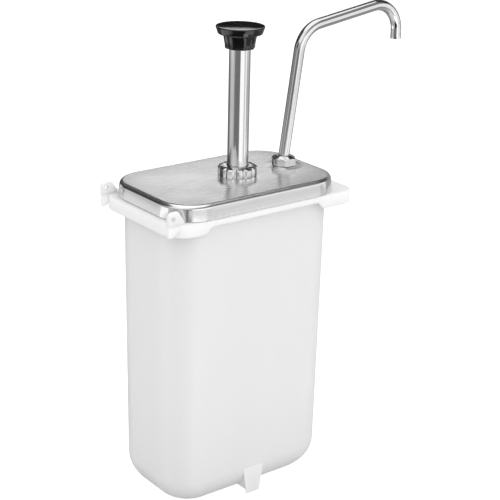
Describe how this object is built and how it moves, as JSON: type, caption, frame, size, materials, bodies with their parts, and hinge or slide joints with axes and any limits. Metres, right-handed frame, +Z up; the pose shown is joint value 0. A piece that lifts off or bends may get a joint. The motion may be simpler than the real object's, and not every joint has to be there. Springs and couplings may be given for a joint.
{
  "type": "condiment pump dispenser",
  "caption": "Slim deep fountain jar with a pressed steel cover, a push pump with a black knob and a bent swivelling spout for sauces and syrups.",
  "frame": {"origin": "centre of the jar's flat floor, on the plane it stands on", "axes": "+Z up along the plunger's axis, +X along the jar's length towards the spout's outlet, +Y across the jar"},
  "size_m": [0.2685, 0.1068, 0.3931],
  "materials": {
    "milky_plastic": "satin, slightly translucent",
    "brushed_steel": "brushed",
    "bright_steel": "polished stainless steel",
    "black_plastic": "gloss",
    "white_plastic": "satin",
    "seal_rubber": "matt"
  },
  "bodies": {
    "jar": {"fountain_jar": "milky_plastic"},
    "cover": {"lid_cover": "brushed_steel", "lock_collar": "bright_steel", "coupling_nut": "bright_steel", "pump_cylinder": "bright_steel", "cylinder_gasket": "seal_rubber", "plunger_bushing": "white_plastic", "valve_body": "white_plastic", "valve_o_ring": "seal_rubber", "inlet_pin": "bright_steel", "riser_fitting": "white_plastic", "riser_o_ring": "seal_rubber", "riser_tube": "bright_steel", "discharge_fitting": "bright_steel", "fitting_gasket": "seal_rubber"},
    "plunger": {"plunger_tube": "bright_steel", "knob": "black_plastic", "knob_stud": "bright_steel", "piston_stud": "bright_steel", "piston": "white_plastic", "piston_o_ring": "seal_rubber", "piston_cup": "seal_rubber", "piston_washer": "bright_steel", "piston_nut": "bright_steel", "return_spring": "bright_steel"},
    "spout": {"spout_tube": "bright_steel", "spout_ferrule": "bright_steel", "spout_o_ring": "seal_rubber"},
    "inlet_check": {"inlet_ball": "bright_steel"},
    "outlet_check": {"outlet_ball": "bright_steel"}
  },
  "joints": [
    {"name": "lid_lift", "type": "slide", "parent": "jar", "child": "cover", "axis": [0, 0, 1], "range_m": [0, 0.26]},
    {"name": "plunger_press", "type": "slide", "parent": "cover", "child": "plunger", "axis": [0, 0, -1], "range_m": [0, 0.09], "stiffness_N_per_m": 120, "springref_m": -0.04, "deforming": ["return_spring"]},
    {"name": "spout_swivel", "type": "hinge", "parent": "cover", "child": "spout", "pos_m": [0.0582, 0, 0.2675], "axis": [0, 0, 1], "range_deg": [-135, 135]},
    {"name": "inlet_ball_lift", "type": "slide", "parent": "cover", "child": "inlet_check", "axis": [0, 0, 1], "range_m": [0, 0.003]},
    {"name": "outlet_ball_lift", "type": "slide", "parent": "cover", "child": "outlet_check", "axis": [0, 0, 1], "range_m": [0, 0.003]}
  ]
}
